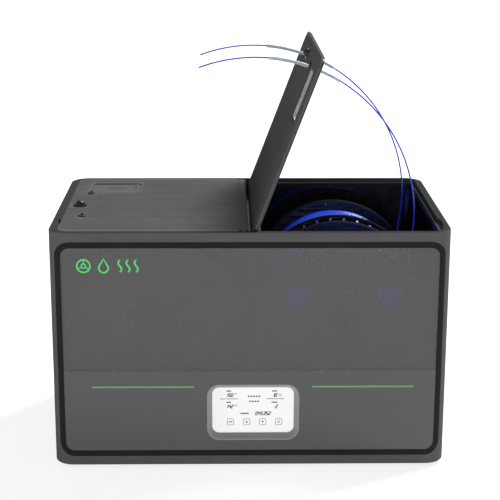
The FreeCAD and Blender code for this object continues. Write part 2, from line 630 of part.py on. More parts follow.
def cord_path(points):
    """Straight runs joined by tangent arcs, each as large as its runs allow."""
    edges, radii = [], []
    start = points[0]
    for before, corner, after in zip(points, points[1:], points[2:]):
        into, out = corner - before, after - corner
        shorter = min(into.Length, out.Length)
        turn = into.getAngle(out)
        reach = 0.45 * shorter
        radii.append(reach / math.tan(turn / 2))
        into.normalize()
        out.normalize()
        first, last = corner - into * reach, corner + out * reach
        bisector = (out - into).normalize()
        depth = radii[-1] / math.cos(turn / 2) - radii[-1]
        edges.append(Part.LineSegment(start, first).toShape())
        edges.append(Part.Arc(first, corner + bisector * depth, last).toShape())
        start = last
    edges.append(Part.LineSegment(start, points[-1]).toShape())
    return Part.Wire(edges), radii


def make_strands():
    for row, y in zip(("front", "back"), OUTLET_Y):
        points = strand_route(y)
        path, radii = cord_path(points)
        run = (points[1] - points[0]).normalize()
        profile = Part.Wire(Part.makeCircle(STRAND_R, points[0], run))
        tube = path.makePipeShell([profile], True, False)
        ideal = math.pi * STRAND_R ** 2 * path.Length
        print(row, "strand: length", round(path.Length, 1), "radii", [round(r, 1) for r in radii],
              "volume ratio", round(tube.Volume / ideal, 4))
        print("   points", [(round(p.x, 2), p.y, round(p.z, 2)) for p in points])
        nodes[row + "_strand"] = tube


# ---------------------------------------------------------------- everything
def main():
    make_case()
    make_display()
    make_bays()
    make_spine()
    make_lids()
    make_spools()
    make_base()
    make_air_system()
    make_power()
    make_strands()
    os.makedirs("parts", exist_ok=True)
    for name, shape in nodes.items():
        if not shape.isValid() or not shape.Solids:
            print("CHECK", name, "valid", shape.isValid(), "solids", len(shape.Solids))
        shape.exportStep("parts/" + name + ".step")
    print(len(nodes), "nodes")


main()
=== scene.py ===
"""Looks of the four-spool filament dryer box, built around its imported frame.

Everything is in metres, X to the right, Y to the back and Z up, with the
origin in the middle of the footprint on the surface that the feet stand on.
"""
import json
import math
import random

import bmesh
import bpy
from mathutils import Matrix, Vector


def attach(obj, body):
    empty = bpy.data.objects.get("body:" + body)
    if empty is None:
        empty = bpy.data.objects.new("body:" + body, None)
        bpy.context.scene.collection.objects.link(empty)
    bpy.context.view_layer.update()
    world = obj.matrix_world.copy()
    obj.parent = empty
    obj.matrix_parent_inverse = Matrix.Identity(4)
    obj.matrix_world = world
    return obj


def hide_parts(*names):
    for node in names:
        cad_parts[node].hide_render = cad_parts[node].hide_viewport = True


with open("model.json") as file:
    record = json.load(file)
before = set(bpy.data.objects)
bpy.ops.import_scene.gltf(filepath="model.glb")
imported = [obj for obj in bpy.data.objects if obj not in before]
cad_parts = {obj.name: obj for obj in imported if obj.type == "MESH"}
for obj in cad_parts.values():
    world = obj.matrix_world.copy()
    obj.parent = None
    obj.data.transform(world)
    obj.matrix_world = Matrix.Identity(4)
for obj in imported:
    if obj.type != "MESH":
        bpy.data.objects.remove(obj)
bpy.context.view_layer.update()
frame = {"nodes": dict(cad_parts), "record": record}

MM = 0.001
SCENE = bpy.context.scene

# sizes shared with the part, in millimetres
HALF_D = 141.5
RIM_Z = 279.0
HINGE_X, HINGE_Z = 7.0, 274.4
LID_OPEN = 69.3
SPOOL_X, SPOOL_Z, SPOOL_R, SPOOL_W = 107.5, 160.0, 100.0, 82.0
SPOOL_ROWS = {"front": -54.0, "back": 58.0}
HUB_R, HUB_BORE_R = 31.5, 27.5
WINDING_R = {"right": 88.0, "left": 84.0}
OUTLET_REACH, OUTLET_Y = 184.0, (-50.0, 65.0)
KNOB_REACH, KNOB_Y = 191.5, 14.0
SCREEN_Y = -133.7
DISPLAY_X = 3.5
THROUGH_Z = (0.1172, 0.1192)   # metres; the window is see-through above this step
RIM_SHADE_Z = (0.2784, 0.2788)   # metres; painted shade: the case's upward rim is painted darker above this step


# ---------------------------------------------------------------- camera
CAMERA_PLACE = (-0.02587, -1.61235, 0.65694)
CAMERA_YAW, CAMERA_PITCH, CAMERA_ROLL = 0.0178, 0.2630, 0.0030
CAMERA_LENS, CAMERA_SENSOR = 100.052, 36.0
CAMERA_SHIFT = (-0.00161, -0.00328)


def add_camera():
    sin_y, cos_y = math.sin(CAMERA_YAW), math.cos(CAMERA_YAW)
    sin_p, cos_p = math.sin(CAMERA_PITCH), math.cos(CAMERA_PITCH)
    forward = Vector((sin_y * cos_p, cos_y * cos_p, -sin_p))
    level = Vector((cos_y, -sin_y, 0.0))
    upright = level.cross(forward)
    right = level * math.cos(CAMERA_ROLL) + upright * math.sin(CAMERA_ROLL)
    up = upright * math.cos(CAMERA_ROLL) - level * math.sin(CAMERA_ROLL)
    data = bpy.data.cameras.new("camera")
    data.lens = CAMERA_LENS
    data.sensor_width = CAMERA_SENSOR
    data.shift_x, data.shift_y = CAMERA_SHIFT
    data.clip_end = 100.0
    camera = bpy.data.objects.new("camera", data)
    SCENE.collection.objects.link(camera)
    turned = Matrix((right, up, -forward)).transposed().to_4x4()
    turned.translation = Vector(CAMERA_PLACE)
    camera.matrix_world = turned
    SCENE.camera = camera


add_camera()


# ---------------------------------------------------------------- materials
def linear(level):
    """Linear value of an sRGB level from 0 to 255."""
    v = level / 255.0
    return v / 12.92 if v <= 0.04045 else ((v + 0.055) / 1.055) ** 2.4


def rgb(r, g=None, b=None):
    g, b = (r, r) if g is None else (g, b)
    return (linear(r), linear(g), linear(b), 1.0)


class Shader:
    """A material's node tree with a Principled shader and short node calls."""

    def __init__(self, name):
        self.material = bpy.data.materials.new(name)
        self.material.use_nodes = True
        self.tree = self.material.node_tree
        self.bsdf = self.tree.nodes["Principled BSDF"]
        self.place = self.add("ShaderNodeTexCoord").outputs["Object"]

    def add(self, kind, **settings):
        node = self.tree.nodes.new(kind)
        for key, value in settings.items():
            setattr(node, key, value)
        return node

    def link(self, source, target):
        self.tree.links.new(source, target)

    def set(self, **values):
        for key, value in values.items():
            self.bsdf.inputs[key.replace("_", " ")].default_value = value
        return self

    def noise(self, scale, detail=3.0, stretch=None):
        node = self.add("ShaderNodeTexNoise")
        node.inputs["Scale"].default_value = scale
        node.inputs["Detail"].default_value = detail
        source = self.place
        if stretch:
            mapping = self.add("ShaderNodeMapping")
            mapping.inputs["Scale"].default_value = stretch
            self.link(source, mapping.inputs["Vector"])
            source = mapping.outputs["Vector"]
        self.link(source, node.inputs["Vector"])
        return node.outputs["Fac"]

    def ramp(self, fac, stops):
        node = self.add("ShaderNodeValToRGB")
        ramp = node.color_ramp
        while len(ramp.elements) < len(stops):
            ramp.elements.new(0.5)
        for element, (position, colour) in zip(ramp.elements, stops):
            element.position = position
            element.color = colour
        self.link(fac, node.inputs["Fac"])
        return node.outputs["Color"]

    def span(self, value, low, high, start=0.3, end=0.7):
        node = self.add("ShaderNodeMapRange")
        for key, v in (("From Min", start), ("From Max", end), ("To Min", low), ("To Max", high)):
            node.inputs[key].default_value = v
        self.link(value, node.inputs["Value"])
        return node.outputs["Result"]

    def axis(self, letter):
        node = self.add("ShaderNodeSeparateXYZ")
        self.link(self.place, node.inputs["Vector"])
        return node.outputs[letter]

    def bump(self, height, strength, distance):
        node = self.add("ShaderNodeBump")
        node.inputs["Strength"].default_value = strength
        node.inputs["Distance"].default_value = distance
        self.link(height, node.inputs["Height"])
        self.link(node.outputs["Normal"], self.bsdf.inputs["Normal"])


def moulded(name, dark, light, rough, grain=900.0, depth=0.00008, strength=0.35, **sockets):
    """Moulded plastic or rubber: faint mottling, uneven sheen and a fine grain."""
    s = Shader(name)
    mottle = s.noise(38.0, 4.0)
    s.link(s.ramp(mottle, [(0.3, dark), (0.7, light)]), s.bsdf.inputs["Base Color"])
    s.link(s.span(s.noise(90.0, 2.0), *rough), s.bsdf.inputs["Roughness"])
    s.bump(s.noise(grain, 2.0), strength, depth)
    s.set(**sockets)
    return s.material


def case_plastic():
    """Grey moulded case with painted shade: its upward rim is painted darker than its walls."""
    s = Shader("case_grey")
    # painted shade: above this height the case takes a darker grey
    top = s.span(s.axis("Z"), 0.0, 1.0, *RIM_SHADE_Z)
    mix = s.add("ShaderNodeMix", data_type="RGBA")
    s.link(top, mix.inputs["Factor"])
    colours = [socket for socket in mix.inputs if socket.type == "RGBA"]
    s.link(s.ramp(s.noise(38.0, 4.0), [(0.3, rgb(90)), (0.7, rgb(95))]), colours[0])
    # painted shade colour for the rim's upward faces
    colours[1].default_value = rgb(60)
    s.link([o for o in mix.outputs if o.type == "RGBA"][0], s.bsdf.inputs["Base Color"])
    s.link(s.span(s.noise(90.0, 2.0), 0.60, 0.70), s.bsdf.inputs["Roughness"])
    s.bump(s.noise(900.0, 2.0), 0.35, 0.00008)
    return s.set(Specular_IOR_Level=0.0).material


def brushed(name, dark, light, rough, stretch):
    """Metal with fine marks drawn out along one direction."""
    s = Shader(name)
    marks = s.noise(420.0, 3.0, stretch)
    s.link(s.ramp(marks, [(0.3, dark), (0.7, light)]), s.bsdf.inputs["Base Color"])
    s.link(s.span(marks, *rough), s.bsdf.inputs["Roughness"])
    s.bump(marks, 0.3, 0.00005)
    return s.set(Metallic=1.0).material


def smoked_pane():
    """Smoked clear panel, blacked out from behind below the bays' floor."""
    s = Shader("smoked_pane")
    height = s.axis("Z")
    s.link(s.ramp(s.span(height, 0.0, 1.0, *THROUGH_Z), [(0.0, rgb(83)), (1.0, rgb(109))]),
           s.bsdf.inputs["Base Color"])
    s.link(s.span(height, 1.0, 0.5, *THROUGH_Z), s.bsdf.inputs["Alpha"])
    s.link(s.span(s.noise(60.0), 0.20, 0.28), s.bsdf.inputs["Roughness"])
    s.bump(s.noise(30.0, 1.0), 0.02, 0.0002)
    return s.set(Specular_IOR_Level=0.4).material


def lit_screen():
    """White backlit display, a little dimmer towards its left end."""
    s = Shader("screen_white")
    glow = s.span(s.axis("X"), 0.86, 0.93, -0.044, -0.018)
    cloud = s.noise(50.0, 1.0)
    s.link(s.ramp(cloud, [(0.3, (0.10, 0.10, 0.10, 1.0)), (0.7, (0.12, 0.12, 0.12, 1.0))]),
           s.bsdf.inputs["Base Color"])
    s.link(glow, s.bsdf.inputs["Emission Strength"])
    s.link(s.span(cloud, 0.22, 0.30), s.bsdf.inputs["Roughness"])
    return s.set(Emission_Color=(0.86, 0.87, 0.86, 1.0)).material


def circuit_board():
    s = Shader("board_green")
    cells = s.add("ShaderNodeTexVoronoi", feature="DISTANCE_TO_EDGE")
    cells.inputs["Scale"].default_value = 160.0
    s.link(s.place, cells.inputs["Vector"])
    tracks = s.span(cells.outputs["Distance"], 0.0, 1.0, 0.02, 0.06)
    s.link(s.ramp(tracks, [(0.4, rgb(40, 110, 62)), (0.6, rgb(22, 70, 40))]),
           s.bsdf.inputs["Base Color"])
    s.link(s.span(s.noise(120.0), 0.35, 0.5), s.bsdf.inputs["Roughness"])
    s.bump(tracks, 0.4, 0.0001)
    return s.material


def milky_tube():
    """Translucent guide tube, brighter where its wall is seen edge on."""
    s = Shader("tube_white")
    haze = s.noise(260.0, 2.0)
    s.link(s.ramp(haze, [(0.3, rgb(232, 230, 240)), (0.7, rgb(246, 244, 252))]),
           s.bsdf.inputs["Base Color"])
    s.link(s.span(haze, 0.28, 0.40), s.bsdf.inputs["Roughness"])
    s.bump(s.noise(700.0), 0.2, 0.00005)
    return s.set(Transmission_Weight=0.06, Subsurface_Weight=0.4, Alpha=0.88).material


def printed_ink(name, low, high, glow):
    s = Shader(name)
    dots = s.noise(500.0, 2.0)
    s.link(s.ramp(dots, [(0.3, low), (0.7, high)]), s.bsdf.inputs["Base Color"])
    s.link(s.span(dots, 0.45, 0.6), s.bsdf.inputs["Roughness"])
    # painted glow: the print is given an emission of its own, in its lighter colour
    return s.set(Emission_Color=high, Emission_Strength=glow).material


MATERIALS = {
    "case_grey": case_plastic(),
    "band_black": moulded("band_black", rgb(36), rgb(40), (0.40, 0.50), grain=1200.0,
                          depth=0.00004, Specular_IOR_Level=0.03),
    "smoked_pane": smoked_pane(),
    "bezel_grey": moulded("bezel_grey", rgb(146), rgb(152), (0.5, 0.6), grain=1500.0,
                          depth=0.00002),
    "screen_white": lit_screen(),
    "module_metal": brushed("module_metal", rgb(150), rgb(176), (0.3, 0.45), (1, 1, 20)),
    "board_green": circuit_board(),
    "steel": brushed("steel", rgb(165), rgb(190), (0.22, 0.36), (1, 20, 1)),
    "liner_black": moulded("liner_black", rgb(22), rgb(27), (0.12, 0.22), grain=500.0,
                           depth=0.00003, strength=0.2),
    "lid_grey": moulded("lid_grey", rgb(88), rgb(94), (0.55, 0.65), grain=1300.0, depth=0.00005,
                        Specular_IOR_Level=0.0),
    "lid_inner_grey": moulded("lid_inner_grey", rgb(46), rgb(51), (0.42, 0.52)),
    "seal_rubber": moulded("seal_rubber", rgb(24), rgb(30), (0.6, 0.75), grain=1800.0),
    "knob_black": moulded("knob_black", rgb(26), rgb(33), (0.32, 0.45), grain=1500.0),
    "tube_white": milky_tube(),
    "base_black": moulded("base_black", rgb(34), rgb(40), (0.5, 0.62)),
    "heater_metal": brushed("heater_metal", rgb(140), rgb(168), (0.35, 0.5), (1, 16, 1)),
    "sensor_white": moulded("sensor_white", rgb(206), rgb(218), (0.4, 0.5)),
    "filament_blue": moulded("filament_blue", rgb(30, 66, 214), rgb(40, 80, 232), (0.26, 0.36),
                             grain=2400.0, depth=0.00002),
    "filament_dark": moulded("filament_dark", rgb(40), rgb(48), (0.3, 0.4), grain=2400.0,
                             depth=0.00002),
    "spool_black": moulded("spool_black", rgb(24), rgb(29), (0.2, 0.3), grain=700.0,
                           depth=0.00004),
    "roller_grey": moulded("roller_grey", rgb(66), rgb(76), (0.5, 0.65), grain=1600.0),
}
# the green window print carries a painted glow: emission 0.08 on the lines and 0.30 on the icons
INK_GREEN_PAINTED_GLOW = printed_ink("ink_green_painted_glow", rgb(96, 152, 106), rgb(112, 168, 122), 0.08)
INK_BRIGHT_PAINTED_GLOW = printed_ink("ink_bright_green_painted_glow", rgb(66, 178, 92), rgb(80, 200, 108), 0.30)
INK_SCREEN = printed_ink("ink_screen_grey", rgb(48), rgb(60), 0.0)
INK_FAINT = printed_ink("ink_screen_faint", rgb(112), rgb(126), 0.0)
LABEL_FILM = moulded("label_film", rgb(80), rgb(86), (0.30, 0.40), grain=1500.0, depth=0.00002)
CHROME = brushed("chrome_dot", rgb(200), rgb(225), (0.1, 0.2), (1, 1, 1))

for part in frame["record"]["subparts"]:
    mesh = frame["nodes"][part["node"]].data
    mesh.materials.clear()
    mesh.materials.append(MATERIALS[part["material_slot"]])


# ---------------------------------------------------------------- mesh helpers
def new_object(name, mesh, material, body, replaced=()):
    piece = bpy.data.objects.new(name, mesh)
    SCENE.collection.objects.link(piece)
    if material is not None:
        mesh.materials.clear()
        mesh.materials.append(material)
    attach(piece, body)
    if replaced:
        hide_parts(*replaced)
    return piece


def finish_mesh(bm, name, smooth=False, turn=None):
    """Mesh in metres from a bmesh in millimetres."""
    bmesh.ops.remove_doubles(bm, verts=bm.verts, dist=0.0005)
    bmesh.ops.recalc_face_normals(bm, faces=bm.faces)
    if turn is not None:
        bmesh.ops.transform(bm, matrix=turn, verts=bm.verts)
    bmesh.ops.scale(bm, vec=(MM, MM, MM), verts=bm.verts)
    mesh = bpy.data.meshes.new(name)
    bm.to_mesh(mesh)
    bm.free()
    mesh.shade_flat()
    if smooth:
        mesh.shade_smooth()
        mesh.set_sharp_from_angle(angle=math.radians(38))
    return mesh


def add_prism(bm, loop, depth):
    """Closed prism: a loop of points pushed along a vector."""
    front = [bm.verts.new(p) for p in loop]
    back = [bm.verts.new(Vector(p) + Vector(depth)) for p in loop]
    count = len(loop)
    bm.faces.new(front)
    bm.faces.new(list(reversed(back)))
    for i in range(count):
        j = (i + 1) % count
        bm.faces.new([front[j], front[i], back[i], back[j]])


def bridge(bm, here, there):
    """Quads between two closed rings of the same count."""
    count = len(here)
    for k in range(count):
        n = (k + 1) % count
        bm.faces.new([here[k], here[n], there[n], there[k]])


def lathe(bm, profile, segments):
    """Solid turned about the Y axis from a closed loop of (radius, y) points."""
    rings = []
    for i in range(segments):
        a = 2 * math.pi * i / segments
        rings.append([bm.verts.new((r * math.cos(a), y, r * math.sin(a))) for r, y in profile])
    for i in range(segments):
        bridge(bm, rings[i], rings[(i + 1) % segments])


def circle(radius, count, x=0.0, y=0.0):
    return [(x + radius * math.cos(2 * math.pi * i / count),
             y + radius * math.sin(2 * math.pi * i / count)) for i in range(count)]


def rounded_loop(corners, steps=5):
    """Points of a loop through (x, y, radius) corners."""
    points = []
    count = len(corners)
    for i, (x, y, radius) in enumerate(corners):
        here = Vector((x, y))
        before = (Vector(corners[i - 1][:2]) - here).normalized()
        after = (Vector(corners[(i + 1) % count][:2]) - here).normalized()
        half = before.angle(after) / 2
        centre = here + (before + after).normalized() * (radius / math.sin(half))
        start = here + before * (radius / math.tan(half)) - centre
        end = here + after * (radius / math.tan(half)) - centre
        a0, a1 = math.atan2(start.y, start.x), math.atan2(end.y, end.x)
        sweep = (a1 - a0 + math.pi) % (2 * math.pi) - math.pi
        for k in range(steps + 1):
            a = a0 + sweep * k / steps
            points.append((centre.x + radius * math.cos(a), centre.y + radius * math.sin(a)))
    return points


def rounded_box(x0, x1, y0, y1, radius, steps=5):
    """Loop of a rectangle with rounded corners."""
    return rounded_loop([(x0, y0, radius), (x1, y0, radius), (x1, y1, radius), (x0, y1, radius)],
                        steps)


def add_plate(bm, loops, thickness, bevel, turn):
    """Plate with holes: the loops are filled, thickened and rounded off."""
    curve = bpy.data.curves.new("plate", "CURVE")
    curve.dimensions, curve.fill_mode = "2D", "BOTH"
    curve.extrude = thickness / 2 - bevel
    curve.bevel_depth = bevel
    curve.bevel_resolution = 1
    curve.offset = -bevel
    for loop in loops:
        spline = curve.splines.new("POLY")
        spline.points.add(len(loop) - 1)
        for point, (x, y) in zip(spline.points, loop):
            point.co = (x, y, 0.0, 1.0)
        spline.use_cyclic_u = True
    holder = bpy.data.objects.new("plate", curve)
    SCENE.collection.objects.link(holder)
    bpy.context.view_layer.update()
    shown = holder.evaluated_get(bpy.context.evaluated_depsgraph_get())
    mesh = bpy.data.meshes.new_from_object(shown)
    bpy.data.objects.remove(holder)
    bpy.data.curves.remove(curve)
    mesh.transform(turn)
    bm.from_mesh(mesh)
    bpy.data.meshes.remove(mesh)


# ---------------------------------------------------------------- strands
# the points that the part's strand_route prints, used here as control points: (x, z)
# from the winding to the bare end, the same for both strands
STRAND_ROUTE = (
    (196.68, 160.0), (196.68, 189.0), (184.19, 218.39), (192.47, 267.92), (187.83, 316.15),
    (170.86, 361.53), (142.73, 400.97), (105.35, 431.79), (61.26, 451.88), (13.48, 459.87),
    (-34.75, 455.23), (-57.44, 446.75),
)
STRAND_LENGTH, STRAND_D = 0.4715, 0.00175


def add_strand(row, y):
    curve = bpy.data.curves.new(row + "_strand_line", "CURVE")
    curve.dimensions = "3D"
    curve.resolution_u = 16
    curve.bevel_depth = STRAND_D / 2
    curve.bevel_resolution = 5
    curve.use_fill_caps = True
    spline = curve.splines.new("NURBS")
    spline.points.add(len(STRAND_ROUTE) - 1)
    for point, (x, z) in zip(spline.points, STRAND_ROUTE):
        point.co = (x * MM, y * MM, z * MM, 1.0)
    spline.order_u = 3
    spline.use_endpoint_u = True
    curve.materials.append(MATERIALS["filament_blue"])
    strand = bpy.data.objects.new(row + "_strand_line", curve)
    SCENE.collection.objects.link(strand)
    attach(strand, "casing")
    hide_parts(row + "_strand")
    x, z = STRAND_ROUTE[0]


for row, strand_y in zip(("front", "back"), OUTLET_Y):
    add_strand(row, strand_y)


# ---------------------------------------------------------------- spools
RIM_BEAD = 2.6
WEB_T, FLANGE_T = 2.2, 3.0
RIM_HOLES, RIM_HOLE_R, RIM_HOLE_RING = 36, 1.5, 94.2
WINDOW_RING, WINDOW_REACH, WINDOW_R = 61, 24, 5.0
RIB_END = 90.0
PLATE_TURN = Matrix.Rotation(math.radians(90), 4, "X")


def flange_windows():
    loops = []
    for direction in (30, 150, 270):
        a = math.radians(direction)
        corners = [(WINDOW_RING * math.cos(a) + WINDOW_REACH * math.cos(a + t),
                    WINDOW_RING * math.sin(a) + WINDOW_REACH * math.sin(a + t), WINDOW_R)
                   for t in (0, 2 * math.pi / 3, 4 * math.pi / 3)]
        loops.append(rounded_loop(corners))
    return loops


def spool_half_mesh(facing):
    """Flange with its rim bead, windows and ring of small holes, and half the hub."""
    bm = bmesh.new()
    middle = SPOOL_W / 2 - FLANGE_T / 2
    loops = [circle(SPOOL_R - RIM_BEAD + 0.2, 144), circle(HUB_BORE_R + 2, 64)] + flange_windows()
    for i in range(RIM_HOLES):
        a = math.radians(10 * i + 5)
        loops.append(circle(RIM_HOLE_R, 12, RIM_HOLE_RING * math.cos(a),
                            RIM_HOLE_RING * math.sin(a)))
    add_plate(bm, loops, WEB_T, 0.3, Matrix.Translation((0, middle, 0)) @ PLATE_TURN)
    out, inn = SPOOL_W / 2, SPOOL_W / 2 - FLANGE_T
    lathe(bm, [(SPOOL_R - RIM_BEAD, inn + 0.3), (SPOOL_R - 0.9, inn), (SPOOL_R, inn + 0.9),
               (SPOOL_R, out - 0.9), (SPOOL_R - 0.9, out), (SPOOL_R - RIM_BEAD, out - 0.3)], 144)
    lathe(bm, [(HUB_BORE_R, 0.0), (HUB_BORE_R, out - 0.6), (HUB_BORE_R + 0.6, out),
               (HUB_R + 1.4, out), (HUB_R + 2.0, out - 0.6), (HUB_R + 2.0, inn + 0.4),
               (HUB_R, inn + 0.4), (HUB_R, 0.0)], 96)
    for i in range(3):                        # stiffening ribs from the hub towards the rim
        a = math.radians(120 * i)
        along = Vector((math.cos(a), 0, math.sin(a)))
        across = Vector((-math.sin(a), 0, math.cos(a)))
        start, end = along * (HUB_R + 1.8), along * RIB_END
        y = Vector((0, middle + WEB_T / 2 - 0.2, 0))
        add_prism(bm, [start - across * 0.7 + y, end - across * 0.7 + y,
                       end + across * 0.7 + y, start + across * 0.7 + y], (0, 0.5, 0))
    if facing < 0:
        bmesh.ops.transform(bm, matrix=Matrix.Scale(-1, 4, (0, 1, 0)), verts=bm.verts)
    return finish_mesh(bm, "spool_half", smooth=True)


def winding_mesh(radius, seed):
    """Wound strand: a groove between every two turns, on the face and on both sides."""
    draw = random.Random(seed)
    half = SPOOL_W / 2 - FLANGE_T - 0.25
    inner = HUB_R + 0.15
    across = int(2 * half / 1.8)
    up = int((radius - inner) / 1.75)
    profile = []
    for k in range(up):                       # front side, going outwards
        r0 = inner + (radius - inner) * k / up
        r1 = inner + (radius - inner) * (k + 1) / up
        profile += [(r0, -half + 0.55), (r0 + (r1 - r0) * 0.3, -half + 0.08),
                    (r0 + (r1 - r0) * 0.7, -half + 0.08)]
    for k in range(across):                   # outer face, going back
        y0 = -half + 2 * half * k / across
        step = 2 * half / across
        top = radius - 0.02 - draw.random() * 0.22
        profile += [(radius - 0.85, y0), (top - 0.12, y0 + step * 0.25), (top, y0 + step * 0.5),
                    (top - 0.12, y0 + step * 0.75)]
    for k in reversed(range(up)):
        r0 = inner + (radius - inner) * k / up
        r1 = inner + (radius - inner) * (k + 1) / up
        profile += [(r1, half - 0.55), (r0 + (r1 - r0) * 0.7, half - 0.08),
                    (r0 + (r1 - r0) * 0.3, half - 0.08)]
    profile += [(inner, half - 0.55)]
    bm = bmesh.new()
    lathe(bm, profile, 72)
    mesh = finish_mesh(bm, "winding", smooth=True)
    mesh.shade_smooth()
    return mesh


def add_spools():
    halves = {facing: spool_half_mesh(facing) for facing in (-1, 1)}
    for mesh in halves.values():
        mesh.materials.append(MATERIALS["spool_black"])
    for side, sx in (("left", -1), ("right", 1)):
        finish = "filament_blue" if side == "right" else "filament_dark"
        wound = winding_mesh(WINDING_R[side], 3 + sx)
        wound.materials.append(MATERIALS[finish])
        for row, y in SPOOL_ROWS.items():
            base = side + "_" + row
            place = Vector((sx * SPOOL_X, y, SPOOL_Z)) * MM
            for facing, word in ((-1, "front"), (1, "back")):
                piece = bpy.data.objects.new(base + "_flange_" + word, halves[facing])
                SCENE.collection.objects.link(piece)
                piece.location = place
                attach(piece, base + "_spool")
                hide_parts(base + "_spool_" + word + "_half")
            piece = bpy.data.objects.new(base + "_turns", wound)
            SCENE.collection.objects.link(piece)
            piece.location = place
            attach(piece, base + "_spool")
            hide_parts(base + "_winding")


add_spools()


# ---------------------------------------------------------------- lids
OPENED = (Matrix.Translation((HINGE_X, 0, HINGE_Z))
          @ Matrix.Rotation(math.radians(-LID_OPEN), 4, "Y")
          @ Matrix.Translation((-HINGE_X, 0, -HINGE_Z)))
TURNED = Matrix.Rotation(math.pi, 4, "Z")
LID_TURN = {"right": OPENED, "left": TURNED}

RIB_PITCH, RIB_HALF, RIB_HIGH = 9.4, 3.4, 1.15
RIB_X = (7.6, 211.4)
RIB_Y, RIB_CORNER = 129.0, 11.0
LABEL = (133.0, 192.5, -107.0, -60.0)
LABEL_CLEAR, LABEL_DEEP = 2.5, 1.19
CARD_T, CARD_TOP = 0.25, RIM_Z - 0.95


def rib_spans(y):
    """Where a rib at y runs: inside the rounded border and clear of the fittings."""
    high = RIB_X[1]
    drop = abs(y) + RIB_HALF - (RIB_Y - RIB_CORNER)
    if drop > 0:
        high -= RIB_CORNER - math.sqrt(max(RIB_CORNER ** 2 - drop ** 2, 0.0))
    gaps = []
    clear = LABEL_CLEAR + RIB_HALF
    if LABEL[2] - clear < y < LABEL[3] + clear:
        gaps.append((LABEL[0] - LABEL_CLEAR, LABEL[1] + LABEL_CLEAR))
    fittings = [(HINGE_X + OUTLET_REACH, oy, 7.0) for oy in OUTLET_Y]
    fittings.append((HINGE_X + KNOB_REACH, KNOB_Y, 9.4))
    for x, fy, clear in fittings:
        away = max(abs(y - fy) - RIB_HALF, 0.0)
        if away < clear:
            reach = math.sqrt(clear ** 2 - away ** 2)
            gaps.append((x - reach, x + reach))
    spans, start = [], RIB_X[0]
    for low_gap, high_gap in sorted(gaps):
        if low_gap - start > 4:
            spans.append((start, low_gap))
        start = max(start, high_gap)
    if high - start > 4:
        spans.append((start, high))
    return spans


def add_ribs(side):
    """Low rounded ribs along the lid, with their ends run out into its face."""
    bm = bmesh.new()
    section = [(-RIB_HALF, -0.1), (-RIB_HALF, 0.03), (-RIB_HALF * 0.72, RIB_HIGH * 0.55),
               (-RIB_HALF * 0.38, RIB_HIGH * 0.9), (0.0, RIB_HIGH),
               (RIB_HALF * 0.38, RIB_HIGH * 0.9), (RIB_HALF * 0.72, RIB_HIGH * 0.55),
               (RIB_HALF, 0.03), (RIB_HALF, -0.1)]
    count = int(RIB_Y * 2 / RIB_PITCH)
    for i in range(count):
        y = (i - (count - 1) / 2) * RIB_PITCH
        for x0, x1 in rib_spans(y):
            rings = []
            for x, share in ((x0, 0.04), (x0 + 0.9, 0.7), (x0 + 2.2, 1.0),
                             (x1 - 2.2, 1.0), (x1 - 0.9, 0.7), (x1, 0.04)):
                rings.append([bm.verts.new((x, y + dy, RIM_Z + (z * share if z > 0 else z)))
                              for dy, z in section])
            for here, there in zip(rings, rings[1:]):
                bridge(bm, here, there)
            bm.faces.new(rings[0])
            bm.faces.new(list(reversed(rings[-1])))
    mesh = finish_mesh(bm, side + "_lid_ribs", smooth=True, turn=LID_TURN[side])
    new_object(side + "_lid_ribs", mesh, MATERIALS["lid_grey"], side + "_lid")


def add_label(side):
    """Card in the label's recess, with two squares, two bars and a stud on it."""
    x0, x1, y0, y1 = LABEL
    bm = bmesh.new()
    card = rounded_box(x0 + 1, x1 - 1, y0 + 1, y1 - 1, 2.2)
    add_prism(bm, [(x, y, RIM_Z - LABEL_DEEP) for x, y in card], (0, 0, CARD_T))
    mesh = finish_mesh(bm, side + "_label_card", turn=LID_TURN[side])
    new_object(side + "_label_card", mesh, LABEL_FILM, side + "_lid")
    bm = bmesh.new()
    for x, y, wide, deep in ((x0 + 7, y0 + 14, 3.6, 3.6), (x0 + 7, y0 + 25, 3.6, 3.6),
                             (x0 + 30, y0 + 20, 26.0, 1.6), (x0 + 30, y0 + 26, 26.0, 1.6)):
        mark = rounded_box(x - wide / 2, x + wide / 2, y - deep / 2, y + deep / 2, 0.5, 3)
        add_prism(bm, [(a, b, CARD_TOP) for a, b in mark], (0, 0, 0.06))
    mesh = finish_mesh(bm, side + "_label_marks", turn=LID_TURN[side])
    new_object(side + "_label_marks", mesh, MATERIALS["seal_rubber"], side + "_lid")
    bm = bmesh.new()
    stud = circle(1.9, 20, x0 + 4.5, y0 + 4.5)
    add_prism(bm, [(x, y, CARD_TOP) for x, y in stud], (0, 0, 0.7))
    mesh = finish_mesh(bm, side + "_label_stud", smooth=True, turn=LID_TURN[side])
    new_object(side + "_label_stud", mesh, CHROME, side + "_lid")


